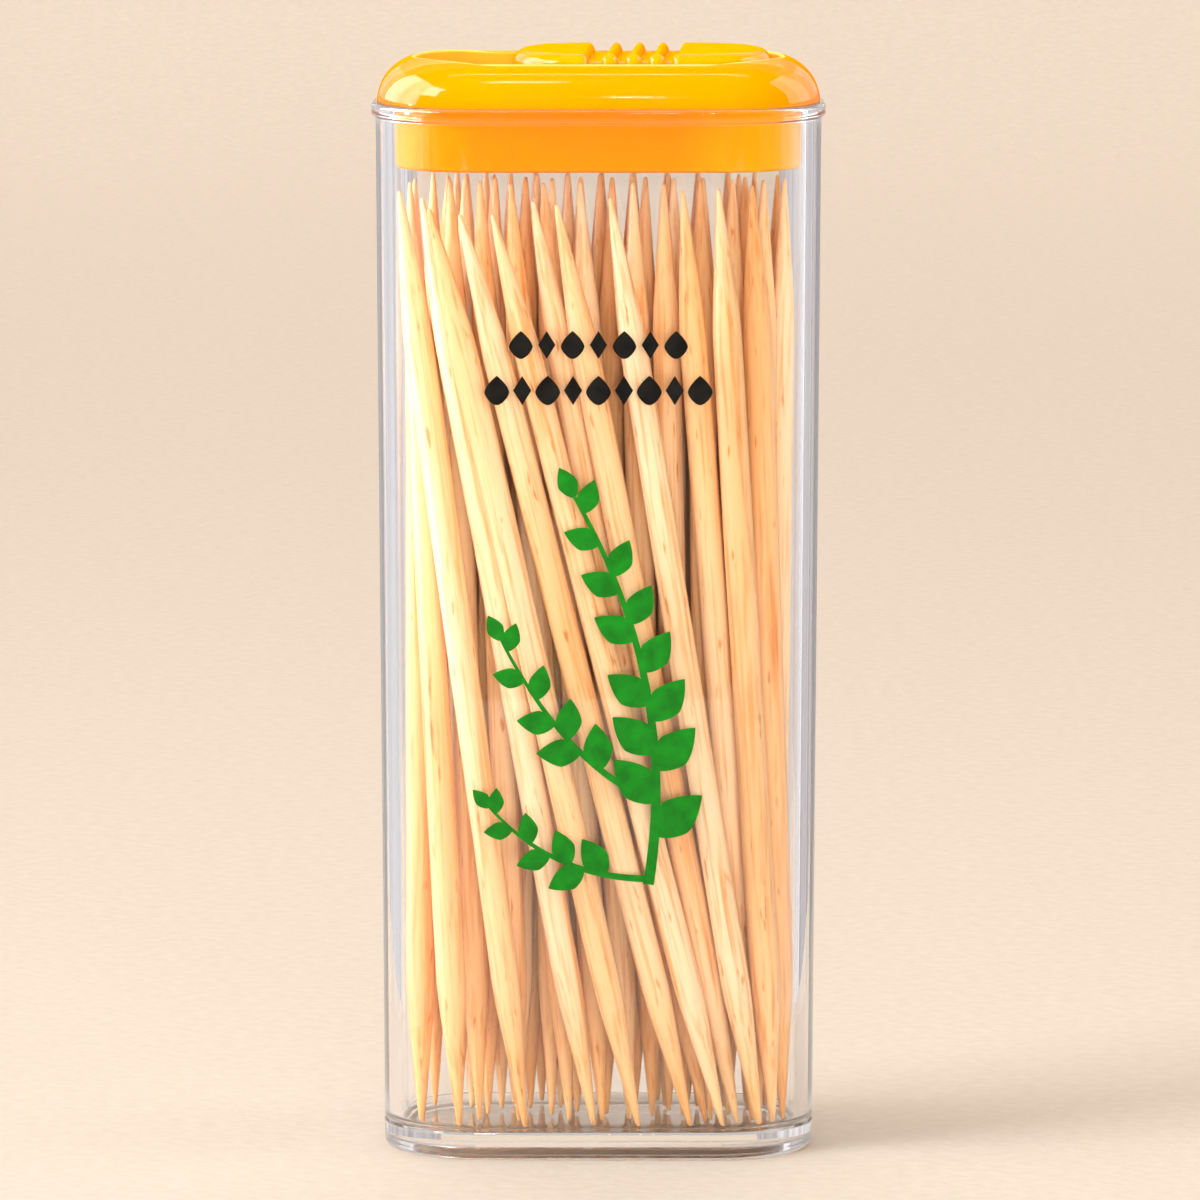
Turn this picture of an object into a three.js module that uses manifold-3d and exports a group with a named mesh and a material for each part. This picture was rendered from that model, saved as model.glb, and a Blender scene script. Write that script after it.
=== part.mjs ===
// Pocket toothpick dispenser: a clear box full of bamboo picks under a push-in cap with a sliding gate.
// Millimetres, +Z up. The origin is under the middle of the box, on the surface it stands on.
// +X runs along the long side, and the gate covers its dispensing hole at the +X end.

import * as THREE from 'three';
import { mergeVertices } from 'three/addons/utils/BufferGeometryUtils.js';
import Module from 'manifold-3d';

const wasm = await Module();
wasm.setup();

// Toothpicks
const pickLength = 65;
const pickDiameter = 2;
const pickTipDiameter = 0.5;
const pickPointLength = 11;
const pickShoulderLength = 4.5;
const pickShoulderDrop = 0.26;
const pickGap = 0.12;
const pickSides = 8;

// Room for the picks, counted in picks side by side
const picksAcross = 12;
const pickRows = 5;
const pickSideRoom = 0.333;
const pickRowRoom = 0.76;

// Clear container
const containerWall = 1.2;
const containerCornerRadius = 7;
const containerDraft = 0.55;
const floorThickness = 1.2;
const floorFillet = 0.8;
const footRecess = 0.5;
const footRingWidth = 1.4;
const footEdgeRound = 0.5;
const rimBeadHeight = 1;
const rimBeadProud = 0.27;
const rimBeadRound = 0.2;

// Cap
const pickHeadroom = 0.95;
const skirtHeight = 4.35;
const skirtWall = 1;
const skirtClearance = 0.2;
const capEdgeInset = 0.1;
const domeHeight = 3.22;
const domeShoulder = 3.8;
const capFloorThickness = 1.2;
const recessEndBorder = 2.6;
const recessSideBorder = 2.2;

// Dispensing hole in the cap's floor
const holeLength = 5;
const holeWidth = 5;
const holeCornerRadius = 1.2;
const holeClosedLap = 0.85;
const holeOpenMargin = 0.15;

// Sliding gate
const gateHeight = 2.25;
const gateShoulder = 1.1;
const gateSideClearance = 0.2;
const gateEndClearance = 0.75;
const gateFloat = 0.1;
const scoopDepth = 0.5;
const scoopOffset = -0.4;
const ribWidth = 0.8;
const ribPitch = 1.6;
const ribCount = 3;

// Snap legs that hold the gate in its guide slot
const legLength = 2.4;
const legThickness = 0.8;
const legSpread = 2.1;
const legSideClearance = 0.2;
const legEndClearance = 0.2;
const barbReach = 0.5;
const barbHeight = 1.1;
const barbClearance = 0.1;

// One overrun for all cuts and joins, and the steps of a round
const overrun = 0.4;
const cornerSteps = 6;
const shoulderSteps = 6;
const edgeSteps = 3;

// Sizes that follow
const hollowWidth = picksAcross * (pickDiameter + pickSideRoom);
const hollowDepth = pickRows * (pickDiameter + pickRowRoom);
const containerWidth = hollowWidth + 2 * containerWall;
const containerDepth = hollowDepth + 2 * containerWall;
const floorHeight = footRecess + floorThickness;
const rimHeight = floorHeight + pickGap + pickLength + pickHeadroom + skirtHeight;

const capWidth = containerWidth - 2 * capEdgeInset;
const capDepth = containerDepth - 2 * capEdgeInset;
const capCornerRadius = containerCornerRadius - capEdgeInset;
const recessLength = capWidth - 2 * recessEndBorder;
const recessWidth = capDepth - 2 * recessSideBorder;

const gateTravel = holeLength + holeClosedLap + holeOpenMargin;
const gateLength = recessLength - gateTravel - 2 * gateEndClearance;
const gateWidth = recessWidth - 2 * gateSideClearance;
const gateRestX = recessLength / 2 - gateEndClearance - gateLength / 2;
const holeX = recessLength / 2 - gateEndClearance - holeClosedLap - holeLength / 2;
const slotLength = legLength + gateTravel + 2 * legEndClearance;
const slotWidth = 2 * (legSpread + legSideClearance);
const slotX = gateRestX - gateTravel / 2;

// Plain solids

// Merges equal corners and drops the slivers that this leaves, so that the surface is closed.
function closed(geometry) {
  geometry.deleteAttribute('normal');
  geometry.deleteAttribute('uv');
  const merged = mergeVertices(geometry);
  const corners = merged.index.array;
  const kept = [];
  for (let i = 0; i < corners.length; i += 3) {
    const [a, b, c] = [corners[i], corners[i + 1], corners[i + 2]];
    if (a !== b && b !== c && c !== a) kept.push(a, b, c);
  }
  merged.setIndex(kept);
  return merged;
}

function toSolid(geometry) {
  const mesh = closed(geometry);
  return new wasm.Manifold(new wasm.Mesh({
    numProp: 3,
    vertProperties: mesh.getAttribute('position').array,
    triVerts: Uint32Array.from(mesh.index.array),
  }));
}

function toGeometry(solid) {
  const mesh = solid.getMesh();
  const geometry = new THREE.BufferGeometry();
  geometry.setAttribute('position', new THREE.BufferAttribute(mesh.vertProperties, 3));
  geometry.setIndex(new THREE.BufferAttribute(mesh.triVerts, 1));
  return geometry;
}

// A rounded rectangle of points at height z, counted anticlockwise as seen from above.
function roundedRing(width, depth, radius, z) {
  const round = Math.max(0, Math.min(radius, width / 2, depth / 2));
  const points = [];
  for (let corner = 0; corner < 4; corner++) {
    const sideX = corner === 0 || corner === 3 ? 1 : -1;
    const sideY = corner < 2 ? 1 : -1;
    for (let step = 0; step <= cornerSteps; step++) {
      const angle = (corner + step / cornerSteps) * Math.PI / 2;
      points.push([
        sideX * (width / 2 - round) + round * Math.cos(angle),
        sideY * (depth / 2 - round) + round * Math.sin(angle),
        z,
      ]);
    }
  }
  return points;
}

// Joins rings of equal count, from the middle of the first to the middle of the last.
function loft(rings) {
  const count = rings[0].length;
  const points = rings.flat();
  const firstMiddle = points.push([0, 0, rings[0][0][2]]) - 1;
  const lastMiddle = points.push([0, 0, rings[rings.length - 1][0][2]]) - 1;
  const lastStart = (rings.length - 1) * count;
  const triangles = [];
  for (let k = 0; k < count; k++) {
    const next = (k + 1) % count;
    triangles.push(firstMiddle, next, k);
    triangles.push(lastMiddle, lastStart + k, lastStart + next);
    for (let start = 0; start < lastStart; start += count) {
      triangles.push(start + k, start + next, start + count + next);
      triangles.push(start + k, start + count + next, start + count + k);
    }
  }
  const geometry = new THREE.BufferGeometry();
  geometry.setAttribute('position', new THREE.Float32BufferAttribute(points.flat(), 3));
  geometry.setIndex(triangles);
  return geometry;
}

function prism(width, depth, radius, lowZ, highZ) {
  return loft([roundedRing(width, depth, radius, lowZ), roundedRing(width, depth, radius, highZ)]);
}

// A quarter round as pairs: how far in from the side, and how far up from where it starts.
function quarterRound(inset, rise, steps) {
  return Array.from({ length: steps + 1 }, (_, step) => {
    const angle = (step / steps) * Math.PI / 2;
    return [inset * (1 - Math.cos(angle)), rise * Math.sin(angle)];
  });
}

// Container: one open cup with a foot ring, drafted walls and a bead round its rim

function draftAt(z) {
  return containerDraft * (1 - z / rimHeight);
}

function containerRing(inset, z) {
  return roundedRing(
    containerWidth - 2 * inset,
    containerDepth - 2 * inset,
    containerCornerRadius - inset,
    z,
  );
}

function containerGeometry() {
  const footInset = containerDraft + footEdgeRound + footRingWidth;
  const beadLow = rimHeight - rimBeadHeight;
  const rings = [containerRing(footInset, footRecess), containerRing(footInset, 0)];
  for (const [inset, rise] of quarterRound(footEdgeRound, footEdgeRound, edgeSteps)) {
    const z = footEdgeRound - rise;
    rings.splice(2, 0, containerRing(draftAt(z) + inset, z));
  }
  rings.push(
    containerRing(draftAt(beadLow), beadLow),
    containerRing(draftAt(beadLow) - rimBeadProud, beadLow + rimBeadRound),
    containerRing(-rimBeadProud, rimHeight - rimBeadRound),
    containerRing(-rimBeadProud + rimBeadRound, rimHeight),
    containerRing(containerWall, rimHeight),
  );
  for (const [inset, rise] of quarterRound(floorFillet, floorFillet, edgeSteps)) {
    const z = floorHeight + floorFillet - rise;
    rings.push(containerRing(draftAt(z) + containerWall + inset, z));
  }
  return closed(loft(rings));
}

// Cap: a plug skirt under a domed top, with a long recess, a dispensing hole and a guide slot.
// Its own origin is in the middle of the flange's underside, which lies on the container's rim.

function capRing(inset, z) {
  return roundedRing(capWidth - 2 * inset, capDepth - 2 * inset, capCornerRadius - inset, z);
}

function capGeometry() {
  const skirtInset = containerWall + skirtClearance - capEdgeInset;
  const rings = [
    capRing(skirtInset + skirtWall, 0),
    capRing(skirtInset + skirtWall, -skirtHeight),
    capRing(skirtInset, -skirtHeight),
    capRing(skirtInset, 0),
  ];
  for (const [inset, rise] of quarterRound(domeShoulder, domeHeight, shoulderSteps)) {
    rings.push(capRing(inset, rise));
  }
  const recess = prism(recessLength, recessWidth, recessWidth / 2, capFloorThickness, domeHeight + overrun);
  const hole = prism(holeLength, holeWidth, holeCornerRadius, -overrun, capFloorThickness + overrun);
  const slot = prism(slotLength, slotWidth, 0, -overrun, capFloorThickness + overrun);
  hole.translate(holeX, 0, 0);
  slot.translate(slotX, 0, 0);
  const solid = toSolid(loft(rings)).subtract(toSolid(recess)).subtract(toSolid(hole)).subtract(toSolid(slot));
  return toGeometry(solid);
}

// Gate: a long button with a ribbed finger scoop on top and two snap legs below.
// Its own origin is in the middle of its underside.

// The scoop's side view: a flat bottom with round-topped ribs left standing.
function scoopShape() {
  const scoopLength = (ribCount + 1) * ribPitch - ribWidth;
  const bottom = gateHeight - scoopDepth;
  const top = gateHeight + overrun;
  const shape = new THREE.Shape();
  shape.moveTo(-scoopLength / 2, top);
  shape.lineTo(-scoopLength / 2, bottom);
  for (let rib = 0; rib < ribCount; rib++) {
    const middle = (rib - (ribCount - 1) / 2) * ribPitch;
    shape.lineTo(middle - ribWidth / 2, bottom);
    shape.absarc(middle, gateHeight - ribWidth / 2, ribWidth / 2, Math.PI, 0, true);
    shape.lineTo(middle + ribWidth / 2, bottom);
  }
  shape.lineTo(scoopLength / 2, bottom);
  shape.lineTo(scoopLength / 2, top);
  shape.closePath();
  return shape;
}

function scoopGeometry() {
  const length = gateWidth + 2 * overrun;
  const geometry = new THREE.ExtrudeGeometry(scoopShape(), {
    depth: length,
    bevelEnabled: false,
    curveSegments: cornerSteps,
  });
  geometry.applyMatrix4(new THREE.Matrix4().makeBasis(
    new THREE.Vector3(1, 0, 0),
    new THREE.Vector3(0, 0, 1),
    new THREE.Vector3(0, -1, 0),
  ));
  return geometry.translate(scoopOffset, length / 2, 0);
}

// One leg, seen along the gate: straight through the slot, then a barb that hooks under the cap's floor.
function legGeometry() {
  const hook = -(gateFloat + capFloorThickness + barbClearance);
  const shape = new THREE.Shape();
  shape.moveTo(legSpread - legThickness, overrun);
  shape.lineTo(legSpread - legThickness, hook - barbHeight);
  shape.lineTo(legSpread, hook - barbHeight);
  shape.lineTo(legSpread + barbReach, hook);
  shape.lineTo(legSpread, hook);
  shape.lineTo(legSpread, overrun);
  shape.closePath();
  const geometry = new THREE.ExtrudeGeometry(shape, { depth: legLength, bevelEnabled: false });
  geometry.applyMatrix4(new THREE.Matrix4().makeBasis(
    new THREE.Vector3(0, 1, 0),
    new THREE.Vector3(0, 0, 1),
    new THREE.Vector3(1, 0, 0),
  ));
  return geometry.translate(-legLength / 2, 0, 0);
}

function gateGeometry() {
  const rings = [roundedRing(gateLength, gateWidth, gateWidth / 2, 0)];
  for (const [inset, rise] of quarterRound(gateShoulder, gateShoulder, edgeSteps)) {
    rings.push(roundedRing(
      gateLength - 2 * inset,
      gateWidth - 2 * inset,
      gateWidth / 2 - inset,
      gateHeight - gateShoulder + rise,
    ));
  }
  const frontLeg = toSolid(legGeometry().rotateZ(Math.PI));
  const backLeg = toSolid(legGeometry());
  return toGeometry(toSolid(loft(rings)).subtract(toSolid(scoopGeometry())).add(frontLeg).add(backLeg));
}

// Toothpicks: round sticks pointed at both ends

const pickShoulderRadius = pickDiameter / 2 - pickShoulderDrop;

function pickGeometry() {
  const profile = [
    [0, 0],
    [pickTipDiameter / 2, 0],
    [pickShoulderRadius, pickPointLength - pickShoulderLength],
    [pickDiameter / 2, pickPointLength],
    [pickDiameter / 2, pickLength - pickPointLength],
    [pickShoulderRadius, pickLength - pickPointLength + pickShoulderLength],
    [pickTipDiameter / 2, pickLength],
    [0, pickLength],
  ].map(([radius, height]) => new THREE.Vector2(radius, height));
  return closed(new THREE.LatheGeometry(profile, pickSides).rotateX(Math.PI / 2));
}

// How thick a pick is at a share of its length.
function pickRadiusAt(lengthShare) {
  const fromTip = Math.min(lengthShare, 1 - lengthShare) * pickLength;
  const straight = pickPointLength - pickShoulderLength;
  if (fromTip >= pickPointLength) return pickDiameter / 2;
  if (fromTip >= straight) {
    return pickShoulderRadius + pickShoulderDrop * (fromTip - straight) / pickShoulderLength;
  }
  return pickTipDiameter / 2 + (pickShoulderRadius - pickTipDiameter / 2) * fromTip / straight;
}

// Where the picks stand, as shares of the hollow's half width and half depth: foot, then head.
// Those in front fan out: their heads gather in the left corner and their feet in the right one.
const frontPickShares = [
  { foot: [-0.85, -0.32], head: [-0.915, 0.34] },
  { foot: [-0.7, -0.62], head: [-0.93, 0.08] },
  { foot: [-0.31, -0.82], head: [-0.965, -0.16] },
  { foot: [0.01, -0.84], head: [-0.95, -0.4] },
  { foot: [0.19, -0.84], head: [-0.86, -0.62] },
  { foot: [0.45, -0.84], head: [-0.78, -0.76] },
  { foot: [0.66, -0.84], head: [-0.62, -0.84] },
  { foot: [0.48, -0.3], head: [-0.415, -0.84] },
  { foot: [0.68, -0.5], head: [-0.215, -0.84] },
  { foot: [0.86, -0.62], head: [0.06, -0.84] },
  { foot: [0.36, 0.0], head: [0.31, -0.45] },
  { foot: [0.8, -0.16], head: [0.41, -0.8] },
  { foot: [0.91, -0.42], head: [0.57, -0.84] },
  { foot: [0.94, -0.08], head: [0.72, -0.56] },
  { foot: [0.94, 0.26], head: [0.88, -0.22] },
];
const middlePickShares = [
  { foot: [-0.94, 0.0], head: [-0.72, 0.3] },
  { foot: [-0.61, -0.28], head: [-0.7, 0.02] },
  { foot: [-0.43, -0.4], head: [-0.62, -0.2] },
  { foot: [-0.15, -0.42], head: [-0.43, -0.36] },
  { foot: [0.04, -0.42], head: [-0.25, -0.42] },
  { foot: [0.24, -0.34], head: [-0.06, -0.42] },
  { foot: [0.3, 0.0], head: [0.19, -0.42] },
  { foot: [0.57, 0.2], head: [0.5, -0.1] },
  { foot: [0.76, 0.32], head: [0.68, -0.08] },
];

// The rows behind stand nearly upright, each pick a little off its even place.
const backRowShares = [
  { count: 11, depth: 0.06, left: -0.72, right: 0.84 },
  { count: 11, depth: 0.46, left: -0.86, right: 0.9 },
  { count: 11, depth: 0.84, left: -0.78, right: 0.82 },
];
const strayShare = 0.045;

// An even scatter between -1 and 1 that is the same every time.
function stray(seed) {
  const wave = Math.sin(seed * 12.9898) * 43758.5453;
  return 2 * (wave - Math.floor(wave)) - 1;
}

function backRow({ count, depth, left, right }, row) {
  return Array.from({ length: count }, (_, k) => {
    const seed = 1 + row * count + k;
    const across = THREE.MathUtils.lerp(left, right, k / (count - 1));
    const offset = (n) => strayShare * stray(seed * 4 + n);
    return {
      foot: [across + offset(0), depth + offset(1)],
      head: [across + offset(2), depth + offset(3)],
    };
  });
}

const pickShares = [...frontPickShares, ...middlePickShares, ...backRowShares.flatMap(backRow)];

// The hollow at height z, less the fillet round its floor.
function hollowAt(z) {
  const intoFillet = Math.max(0, floorHeight + floorFillet - z);
  const fillet = floorFillet - Math.sqrt(floorFillet ** 2 - intoFillet ** 2);
  const inset = containerWall + draftAt(z) + fillet;
  return {
    halfX: containerWidth / 2 - inset,
    halfY: containerDepth / 2 - inset,
    radius: Math.min(containerCornerRadius, containerDepth / 2) - inset,
  };
}

const footZ = floorHeight + pickGap;
const settleRounds = 400;
const settleLevels = 26;
const settleSlack = 0.2 * pickGap;
const acrossEaseShare = 0.3;

function riseOf(pick) {
  const lean = Math.hypot(pick.head.x - pick.foot.x, pick.head.y - pick.foot.y);
  return Math.sqrt(pickLength ** 2 - lean ** 2);
}

// Where a pick's axis passes a height above its foot, and the room that the pick takes there.
function crossing(pick, rise) {
  const share = Math.min(rise / riseOf(pick), 1);
  return {
    pick,
    share,
    x: THREE.MathUtils.lerp(pick.foot.x, pick.head.x, share),
    y: THREE.MathUtils.lerp(pick.foot.y, pick.head.y, share),
    room: pickRadiusAt(share) * pickLength / riseOf(pick),
  };
}

// Moves a pick at its crossing, and its ends in proportion.
function nudge(crossed, dx, dy) {
  const { pick, share } = crossed;
  const whole = share ** 2 + (1 - share) ** 2;
  pick.foot.x += dx * (1 - share) / whole;
  pick.foot.y += dy * (1 - share) / whole;
  pick.head.x += dx * share / whole;
  pick.head.y += dy * share / whole;
  crossed.x += dx;
  crossed.y += dy;
}

// Pushes two picks apart at one height, and returns how much too close they were.
function pushApart(a, b) {
  const dx = b.x - a.x;
  const dy = b.y - a.y;
  const wanted = a.room + b.room + pickGap;
  if (Math.abs(dx) > wanted || Math.abs(dy) > wanted) return 0;
  const apart = Math.hypot(dx, dy);
  if (apart >= wanted || apart === 0) return 0;
  const push = (wanted - apart) / 2 / apart;
  nudge(a, -dx * push * acrossEaseShare, -dy * push);
  nudge(b, dx * push * acrossEaseShare, dy * push);
  return wanted - apart;
}

// Pushes a pick in from the wall at one height, and returns how much too close it was.
function keepInside(crossed, hollow) {
  const room = crossed.room + pickGap;
  const round = Math.max(hollow.radius, room);
  const cornerX = Math.max(0, Math.abs(crossed.x) - (hollow.halfX - round));
  const cornerY = Math.max(0, Math.abs(crossed.y) - (hollow.halfY - round));
  const reach = Math.hypot(cornerX, cornerY);
  const over = reach - (round - room);
  if (over <= 0) return 0;
  const back = over / reach;
  nudge(crossed, -Math.sign(crossed.x) * cornerX * back, -Math.sign(crossed.y) * cornerY * back);
  return over;
}

// Settles the picks from their shares until none is too close to another or to a wall.
function settledPicks() {
  const low = hollowAt(floorHeight + floorFillet);
  const high = hollowAt(footZ + pickLength);
  const picks = pickShares.map(({ foot, head }) => ({
    foot: { x: foot[0] * low.halfX, y: foot[1] * low.halfY },
    head: { x: head[0] * high.halfX, y: head[1] * high.halfY },
  }));
  for (let round = 0; round < settleRounds; round++) {
    let tightest = 0;
    for (let level = 0; level <= settleLevels; level++) {
      const rise = pickLength * level / settleLevels;
      const hollow = hollowAt(footZ + rise);
      const here = picks.map((pick) => crossing(pick, rise));
      for (let i = 0; i < here.length; i++) {
        for (let k = i + 1; k < here.length; k++) {
          tightest = Math.max(tightest, pushApart(here[i], here[k]));
        }
      }
      for (const crossed of here) tightest = Math.max(tightest, keepInside(crossed, hollow));
    }
    if (tightest < settleSlack) break;
  }
  return picks;
}

// The assembly

const clearPlastic = new THREE.MeshStandardMaterial({
  color: 0xf3f2f0, roughness: 0.08, metalness: 0, transparent: true, opacity: 0.3,
});
const capPlastic = new THREE.MeshStandardMaterial({ color: 0xffc000, roughness: 0.22, metalness: 0 });
const gatePlastic = new THREE.MeshStandardMaterial({ color: 0xffc800, roughness: 0.2, metalness: 0 });

function bamboo(tone) {
  const color = new THREE.Color(0xf7dcb0).lerp(new THREE.Color(0xe2a765), tone);
  return new THREE.MeshStandardMaterial({ color, roughness: 0.55, metalness: 0 });
}

function piece(name, geometry, material) {
  const mesh = new THREE.Mesh(geometry, material);
  mesh.name = name;
  return mesh;
}

const group = new THREE.Group();
group.add(piece('container', containerGeometry(), clearPlastic));

const capGroup = new THREE.Group();
capGroup.position.z = rimHeight;
capGroup.add(piece('cap', capGeometry(), capPlastic));
group.add(capGroup);

const gate = piece('slide_gate', gateGeometry(), gatePlastic);
gate.position.set(gateRestX, 0, capFloorThickness + gateFloat);
capGroup.add(gate);

const up = new THREE.Vector3(0, 0, 1);
settledPicks().forEach((pick, k) => {
  const lean = new THREE.Vector3(pick.head.x - pick.foot.x, pick.head.y - pick.foot.y, riseOf(pick));
  const name = `pick_${String(k + 1).padStart(2, '0')}`;
  const stick = piece(name, pickGeometry(), bamboo((stray(k + 1) + 1) / 2));
  stick.position.set(pick.foot.x, pick.foot.y, footZ);
  stick.quaternion.setFromUnitVectors(up, lean.normalize());
  group.add(stick);
});

export default group;
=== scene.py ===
import math

import bmesh
import bpy
from mathutils import Matrix, Vector, noise


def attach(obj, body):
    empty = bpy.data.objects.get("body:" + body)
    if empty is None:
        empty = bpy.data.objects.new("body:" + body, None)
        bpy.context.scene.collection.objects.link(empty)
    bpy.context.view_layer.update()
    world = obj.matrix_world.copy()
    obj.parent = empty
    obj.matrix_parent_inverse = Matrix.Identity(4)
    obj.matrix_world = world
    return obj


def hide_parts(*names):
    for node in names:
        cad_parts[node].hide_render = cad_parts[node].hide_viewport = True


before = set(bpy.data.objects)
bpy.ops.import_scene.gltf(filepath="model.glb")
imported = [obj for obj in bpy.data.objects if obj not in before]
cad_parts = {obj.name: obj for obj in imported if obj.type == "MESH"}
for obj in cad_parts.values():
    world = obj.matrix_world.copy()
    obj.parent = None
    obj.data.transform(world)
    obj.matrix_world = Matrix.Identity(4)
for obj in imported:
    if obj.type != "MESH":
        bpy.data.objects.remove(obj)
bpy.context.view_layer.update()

# The pieces are shaped in millimetres and brought to metres as they are finished.
MM = 0.001

# Sizes that the moulded pieces share with the solids
CORNER_X, CORNER_Y = 8.2, 1.1  # middles of the box's four round corners
WALL_RADIUS = 7.0  # of the box's corners, outside at the rim
WALL = 1.2
RIM_Z = 72.12
FLOOR_Z = 1.7
CAP_RADIUS = 6.9
CAP_FLOOR = 1.2
DOME_HEIGHT, DOME_SHOULDER = 3.22, 3.8
SKIRT_HEIGHT = 4.35
RECESS_X, RECESS_RADIUS = 6.7, 5.8
GATE_X, GATE_RADIUS, GATE_HEIGHT = 3.15, 5.6, 2.25
GATE_MIDDLE = 3.0
GATE_Z = RIM_Z + 1.3
PICK_LENGTH = 65.0

# The wall's lean from foot to rim. The solid's leans 0.1 more, so this foot stands 0.1 further out.
DRAFT = 0.45

ROUND_STEPS = 96  # sides of a shape spun once round
EDGE_STEPS = 6  # steps of a rounded edge
MERGED_WITHIN = 1e-5
WHITE = (1, 1, 1)


# Shaping

def spun(profile, steps=ROUND_STEPS):
    """Spins an open profile round the upright axis. A corner is (radius, height, rounding)."""
    bm = bmesh.new()
    verts = [bm.verts.new((radius, 0, height)) for radius, height, _ in profile]
    for pair in zip(verts, verts[1:]):
        bm.edges.new(pair)
    for vert, (_, _, rounding) in zip(verts, profile):
        if rounding:
            arms = [(edge.other_vert(vert).co - vert.co) for edge in vert.link_edges]
            cut = rounding / math.tan(arms[0].angle(arms[1]) / 2)
            bmesh.ops.bevel(bm, geom=[vert], offset=cut, segments=EDGE_STEPS, profile=0.5,
                            affect="VERTICES", material=-1)
    bmesh.ops.rotate(bm, verts=bm.verts, matrix=Matrix.Rotation(math.pi / steps, 3, "Z"))
    bmesh.ops.spin(bm, geom=bm.verts[:] + bm.edges[:], axis=(0, 0, 1), angle=2 * math.pi,
                   steps=steps, use_merge=True)
    return bm


def drawn_out(bm, x, y):
    """Draws a round shape out into one with straight sides between round ends."""
    for axis, reach in (("x", x), ("y", y)):
        move = Vector((reach, 0, 0)) if axis == "x" else Vector((0, reach, 0))
        for side in (-1, 1):
            verts = [v for v in bm.verts if getattr(v.co, axis) * side > 0]
            bmesh.ops.translate(bm, verts=verts, vec=move * side)
    return bm


def closed(bm):
    """Fills the open ends and turns the faces outwards."""
    bmesh.ops.remove_doubles(bm, verts=bm.verts, dist=MERGED_WITHIN)
    bmesh.ops.holes_fill(bm, edges=[e for e in bm.edges if e.is_boundary], sides=0)
    bmesh.ops.recalc_face_normals(bm, faces=bm.faces)
    return bm


def block(size, middle, rounding=0.0, upright=False):
    """A box with round edges, or with round upright edges only."""
    bm = bmesh.new()
    bmesh.ops.create_cube(bm, size=1, matrix=Matrix.Translation(middle) @ Matrix.Diagonal((*size, 1)))
    if rounding:
        edges = bm.edges[:]
        if upright:
            edges = [e for e in edges if abs((e.verts[0].co - e.verts[1].co).z) > 0.5 * size[2]]
        bmesh.ops.bevel(bm, geom=edges, offset=rounding, segments=EDGE_STEPS, profile=0.5,
                        affect="EDGES", material=-1)
    return bm


def joined(parts):
    """Brings several shapes into one mesh."""
    whole = bmesh.new()
    for part in parts:
        mesh = bpy.data.meshes.new("part")
        part.to_mesh(mesh)
        part.free()
        whole.from_mesh(mesh)
        bpy.data.meshes.remove(mesh)
    return whole


def finished(name, bm, material, smooth_angle=35.0):
    """Makes a piece of a shape in millimetres, with smooth faces and sharp edges."""
    bmesh.ops.scale(bm, verts=bm.verts, vec=(MM, MM, MM))
    mesh = bpy.data.meshes.new(name)
    bm.to_mesh(mesh)
    bm.free()
    mesh.shade_smooth()
    mesh.set_sharp_from_angle(angle=math.radians(smooth_angle))
    mesh.materials.append(material)
    piece = bpy.data.objects.new(name, mesh)
    bpy.context.scene.collection.objects.link(piece)
    return piece


def cut_and_joined(piece, *steps):
    """Applies each (operation, shape) to a piece in turn, and keeps the result as its mesh."""
    tools = []
    for operation, bm in steps:
        tool = finished("tool", bm, piece.data.materials[0])
        modifier = piece.modifiers.new(operation, "BOOLEAN")
        modifier.operation, modifier.object, modifier.solver = operation, tool, "EXACT"
        tools.append(tool)
    return kept(piece, tools)


def kept(piece, tools=()):
    """Keeps what the modifiers make as the piece's own mesh."""
    graph = bpy.context.evaluated_depsgraph_get()
    mesh = bpy.data.meshes.new_from_object(piece.evaluated_get(graph))
    old = piece.data
    piece.modifiers.clear()
    piece.data = mesh
    bpy.data.meshes.remove(old)
    mesh.name = piece.name
    for tool in tools:
        bpy.data.meshes.remove(tool.data)
    return piece


# Finishes

def material_tree(name):
    """A new material, with its node tree and its shader."""
    material = bpy.data.materials.new(name)
    material.use_nodes = True
    tree = material.node_tree
    return material, tree, tree.nodes["Principled BSDF"]


def node(tree, kind, **settings):
    made = tree.nodes.new(kind)
    for key, value in settings.items():
        setattr(made, key, value)
    return made


def fill(made, **values):
    """Sets a node's inputs by their labels, with _ for a space."""
    for label, value in values.items():
        made.inputs[label.replace("_", " ")].default_value = value
    return made


def cloudy(tree, place, **values):
    """A noise texture at a place."""
    made = fill(node(tree, "ShaderNodeTexNoise"), **values)
    tree.links.new(place, made.inputs["Vector"])
    return made


def mapped(tree, source, **values):
    """A value brought from one range to another."""
    made = fill(node(tree, "ShaderNodeMapRange"), **values)
    tree.links.new(source, made.inputs["Value"])
    return made.outputs["Result"]


def object_place(tree):
    return node(tree, "ShaderNodeTexCoord").outputs["Object"]


def new_group(name, inputs, outputs):
    """A shader node group with named sockets, and its two end nodes."""
    group = bpy.data.node_groups.new(name, "ShaderNodeTree")
    for label, kind, value in inputs:
        socket = group.interface.new_socket(label, in_out="INPUT", socket_type=kind)
        if value is not None:
            socket.default_value = value
    for label, kind in outputs:
        group.interface.new_socket(label, in_out="OUTPUT", socket_type=kind)
    return group, group.nodes.new("NodeGroupInput"), group.nodes.new("NodeGroupOutput")


def placed(tree, group, place, **values):
    """A node group at a place."""
    made = fill(node(tree, "ShaderNodeGroup", node_tree=group), **values)
    tree.links.new(place, made.inputs["Vector"])
    return made


def ramp(tree, source, stops):
    """A colour for each value, from (value, colour) stops."""
    made = node(tree, "ShaderNodeValToRGB")
    elements = made.color_ramp.elements
    while len(elements) < len(stops):
        elements.new(1)
    for element, (place, colour) in zip(elements, stops):
        element.position = place
        element.color = (*colour, 1)
    tree.links.new(source, made.inputs["Fac"])
    return made.outputs["Color"]


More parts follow.
